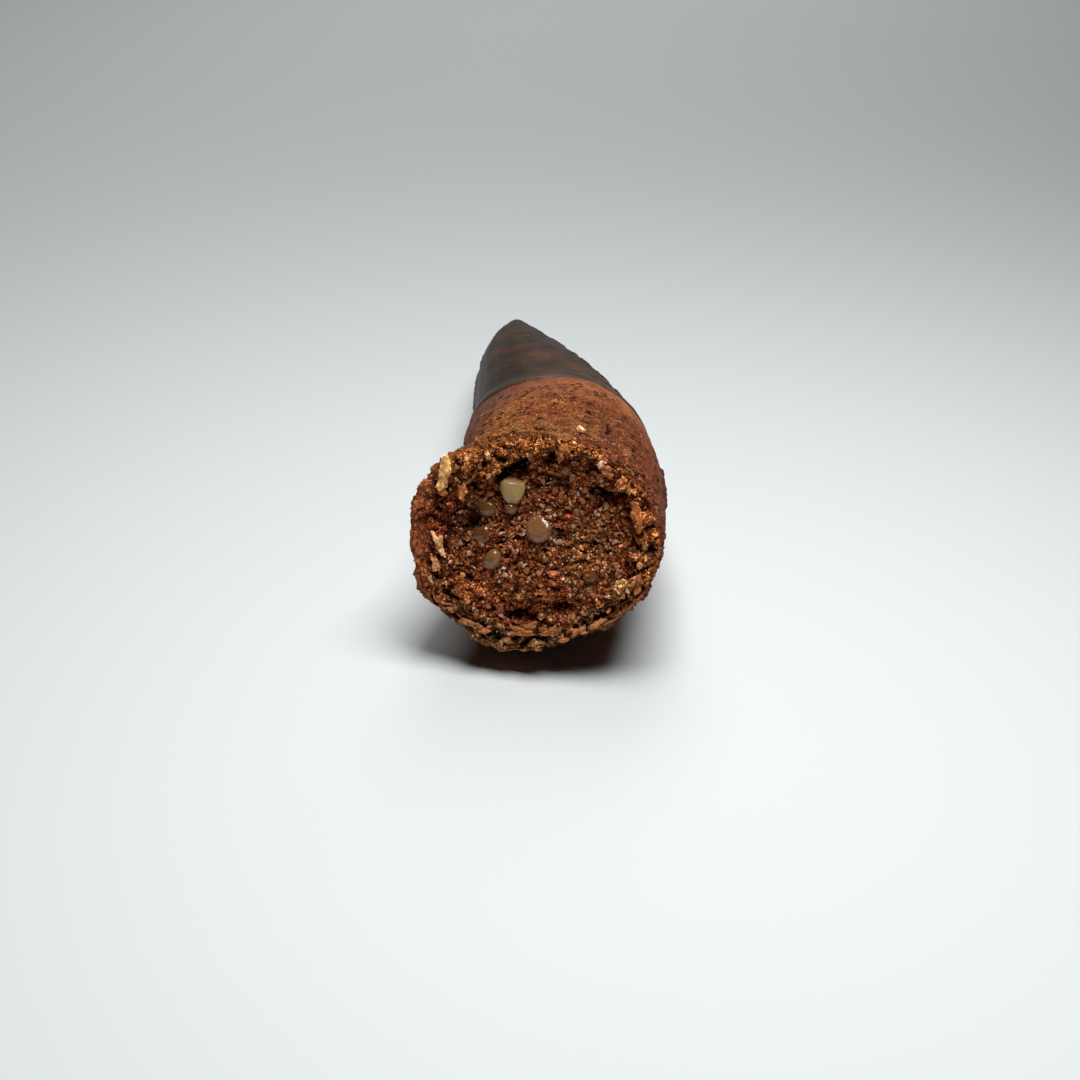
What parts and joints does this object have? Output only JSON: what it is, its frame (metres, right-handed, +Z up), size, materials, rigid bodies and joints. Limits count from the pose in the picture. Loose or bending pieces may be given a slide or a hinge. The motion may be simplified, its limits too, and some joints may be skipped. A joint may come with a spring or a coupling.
{
  "type": "fossil spinosaur tooth",
  "caption": "Curved fossil spinosaur tooth: dark enamelled crown with two cutting edges on a brown root whose broken end shows red sandstone and quartz pebbles.",
  "frame": {"origin": "middle of the footprint on the surface that the tooth lies on", "axes": "+Y along the tooth from the broken root to the tip, +Z up, +X to the side that its bend bulges to"},
  "size_m": [0.0261, 0.0727, 0.0234],
  "materials": {
    "tooth": "fossil enamel, satin dark grey-brown, on a matt red-brown to ochre root with a sandy crust towards the break",
    "sandstone": "coarse matt red-brown sandstone with sparkling sand grains",
    "quartz": "worn clear quartz, faintly yellow to smoky"
  },
  "bodies": {
    "root": {"tooth": "tooth", "sandstone_fill": "sandstone", "quartz_pebble_1": "quartz", "quartz_pebble_2": "quartz", "quartz_pebble_3": "quartz", "quartz_pebble_4": "quartz", "quartz_pebble_5": "quartz", "quartz_pebble_6": "quartz"}
  },
  "joints": []
}
